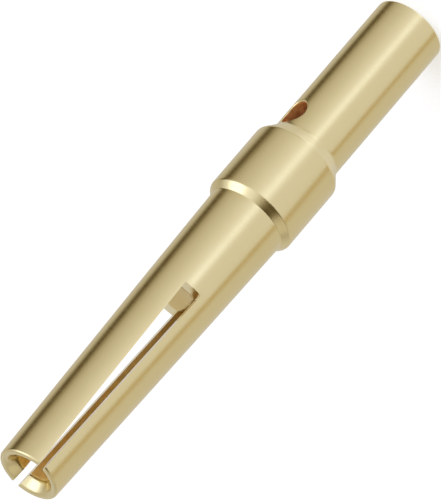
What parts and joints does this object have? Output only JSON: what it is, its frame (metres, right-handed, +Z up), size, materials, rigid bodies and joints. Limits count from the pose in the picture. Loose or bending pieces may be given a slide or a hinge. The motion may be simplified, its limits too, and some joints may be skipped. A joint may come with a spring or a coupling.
{
  "type": "crimp socket contact",
  "caption": "Slender turned crimp contact with a slotted spring socket for a round pin, a locating collar and a drilled crimp barrel with an inspection hole.",
  "frame": {"origin": "centre of the crimp end, on the axis, at the bottom of the part's box", "axes": "+Z up the axis to the mouth of the socket, -Y out of the front of the slot, X across the slot from tine to tine"},
  "size_m": [0.0024, 0.0024, 0.0163],
  "materials": {
    "gold_plate": "satin gold plate on a turned copper alloy"
  },
  "bodies": {
    "root": {"socket_contact": "gold_plate"}
  },
  "joints": []
}
